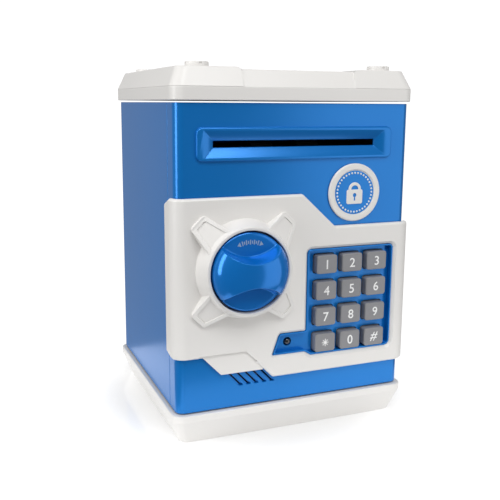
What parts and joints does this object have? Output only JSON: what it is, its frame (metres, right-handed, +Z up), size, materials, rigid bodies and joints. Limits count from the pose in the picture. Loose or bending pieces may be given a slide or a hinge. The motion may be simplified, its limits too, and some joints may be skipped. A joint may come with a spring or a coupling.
{
  "type": "toy atm savings bank",
  "caption": "Toy cash-machine savings bank: blue box with white lid and base, note slot, and a hinged white door with a turning knob and a keypad.",
  "frame": {"origin": "middle of the flat underside of the base tray, on the surface the bank stands on", "axes": "+Z up; the door and the note slot face -Y; +X is to the right seen from the front, the side with the hinge"},
  "size_m": [0.1318, 0.1397, 0.187],
  "materials": {
    "white_plastic": "moulded, semi-gloss",
    "blue_plastic": "moulded, glossy",
    "knob_plastic": "moulded, high gloss",
    "key_plastic": "moulded, satin, with white legends",
    "black_plastic": "moulded, matt",
    "steel": "plated",
    "brass": "turned",
    "rubber": "moulded, matt",
    "board": "lacquered circuit board",
    "lens": "clear dark lens",
    "cell_wrap": "shrink-wrapped"
  },
  "bodies": {
    "bank_body": {"front_shell": "blue_plastic", "rear_shell": "blue_plastic", "top_lid": "white_plastic", "base_tray": "white_plastic", "inner_floor": "blue_plastic", "hinge_pin": "steel", "badge": "white_plastic", "speaker": "black_plastic", "feed_frame": "black_plastic", "feed_motor": "steel", "battery_box": "black_plastic", "battery_1": "cell_wrap", "battery_2": "cell_wrap", "battery_3": "cell_wrap", "battery_contact_left": "steel", "battery_contact_right": "steel", "battery_cover": "white_plastic", "battery_cover_screw": "steel", "base_screw_1": "steel", "base_screw_2": "steel", "base_screw_3": "steel", "base_screw_4": "steel"},
    "door": {"door_panel": "white_plastic", "keypad_plate": "blue_plastic", "door_back": "blue_plastic", "door_screw_1": "steel", "door_screw_2": "steel", "door_screw_3": "steel", "door_screw_4": "steel", "lock_solenoid": "steel", "plunger_spring": "steel", "status_led": "lens", "keypad_membrane": "rubber", "keypad_board": "board"},
    "knob": {"knob": "knob_plastic", "latch_cam": "black_plastic", "knob_screw": "steel"},
    "lock": {"lock_plunger": "steel"},
    "key_1": {"key_1": "key_plastic"},
    "key_2": {"key_2": "key_plastic"},
    "key_3": {"key_3": "key_plastic"},
    "key_4": {"key_4": "key_plastic"},
    "key_5": {"key_5": "key_plastic"},
    "key_6": {"key_6": "key_plastic"},
    "key_7": {"key_7": "key_plastic"},
    "key_8": {"key_8": "key_plastic"},
    "key_9": {"key_9": "key_plastic"},
    "key_star": {"key_star": "key_plastic"},
    "key_0": {"key_0": "key_plastic"},
    "key_hash": {"key_hash": "key_plastic"},
    "feed_roller": {"drive_shaft": "steel", "drive_tyre_left": "rubber", "drive_tyre_right": "rubber", "roller_gear": "white_plastic"},
    "pinch": {"pinch_roller": "rubber"},
    "pinion": {"motor_pinion": "brass"}
  },
  "joints": [
    {"name": "door_hinge", "type": "hinge", "parent": "bank_body", "child": "door", "pos_m": [0.0619, -0.0483, 0.0685], "axis": [0, 0, 1], "range_deg": [0, 100]},
    {"name": "knob_turn", "type": "hinge", "parent": "door", "child": "knob", "pos_m": [-0.03, -0.06, 0.0885], "axis": [0, -1, 0], "range_deg": [0, 90]},
    {"name": "lock_slide", "type": "slide", "parent": "door", "child": "lock", "axis": [0, 0, 1], "range_m": [0, 0.003], "stiffness_N_per_m": 60, "springref_m": -0.002, "deforming": ["plunger_spring"]},
    {"name": "key_1_press", "type": "slide", "parent": "door", "child": "key_1", "axis": [0, 1, 0], "range_m": [0, 0.0015], "stiffness_N_per_m": 300, "springref_m": -0.001},
    {"name": "key_2_press", "type": "slide", "parent": "door", "child": "key_2", "axis": [0, 1, 0], "range_m": [0, 0.0015], "stiffness_N_per_m": 300, "springref_m": -0.001},
    {"name": "key_3_press", "type": "slide", "parent": "door", "child": "key_3", "axis": [0, 1, 0], "range_m": [0, 0.0015], "stiffness_N_per_m": 300, "springref_m": -0.001},
    {"name": "key_4_press", "type": "slide", "parent": "door", "child": "key_4", "axis": [0, 1, 0], "range_m": [0, 0.0015], "stiffness_N_per_m": 300, "springref_m": -0.001},
    {"name": "key_5_press", "type": "slide", "parent": "door", "child": "key_5", "axis": [0, 1, 0], "range_m": [0, 0.0015], "stiffness_N_per_m": 300, "springref_m": -0.001},
    {"name": "key_6_press", "type": "slide", "parent": "door", "child": "key_6", "axis": [0, 1, 0], "range_m": [0, 0.0015], "stiffness_N_per_m": 300, "springref_m": -0.001},
    {"name": "key_7_press", "type": "slide", "parent": "door", "child": "key_7", "axis": [0, 1, 0], "range_m": [0, 0.0015], "stiffness_N_per_m": 300, "springref_m": -0.001},
    {"name": "key_8_press", "type": "slide", "parent": "door", "child": "key_8", "axis": [0, 1, 0], "range_m": [0, 0.0015], "stiffness_N_per_m": 300, "springref_m": -0.001},
    {"name": "key_9_press", "type": "slide", "parent": "door", "child": "key_9", "axis": [0, 1, 0], "range_m": [0, 0.0015], "stiffness_N_per_m": 300, "springref_m": -0.001},
    {"name": "key_star_press", "type": "slide", "parent": "door", "child": "key_star", "axis": [0, 1, 0], "range_m": [0, 0.0015], "stiffness_N_per_m": 300, "springref_m": -0.001},
    {"name": "key_0_press", "type": "slide", "parent": "door", "child": "key_0", "axis": [0, 1, 0], "range_m": [0, 0.0015], "stiffness_N_per_m": 300, "springref_m": -0.001},
    {"name": "key_hash_press", "type": "slide", "parent": "door", "child": "key_hash", "axis": [0, 1, 0], "range_m": [0, 0.0015], "stiffness_N_per_m": 300, "springref_m": -0.001},
    {"name": "feed_spin", "type": "hinge", "parent": "bank_body", "child": "feed_roller", "pos_m": [0, -0.038, 0.1428], "axis": [1, 0, 0], "continuous": true},
    {"name": "pinch_spin", "type": "hinge", "parent": "bank_body", "child": "pinch", "pos_m": [0, -0.038, 0.1535], "axis": [1, 0, 0], "continuous": true},
    {"name": "motor_spin", "type": "hinge", "parent": "bank_body", "child": "pinion", "pos_m": [0.0529, -0.02831, 0.13311], "axis": [1, 0, 0], "continuous": true}
  ],
  "couplings": [
    {"joint": "pinch_spin", "follows": "feed_spin", "ratio": -1.1667},
    {"joint": "motor_spin", "follows": "feed_spin", "ratio": -2.4}
  ]
}
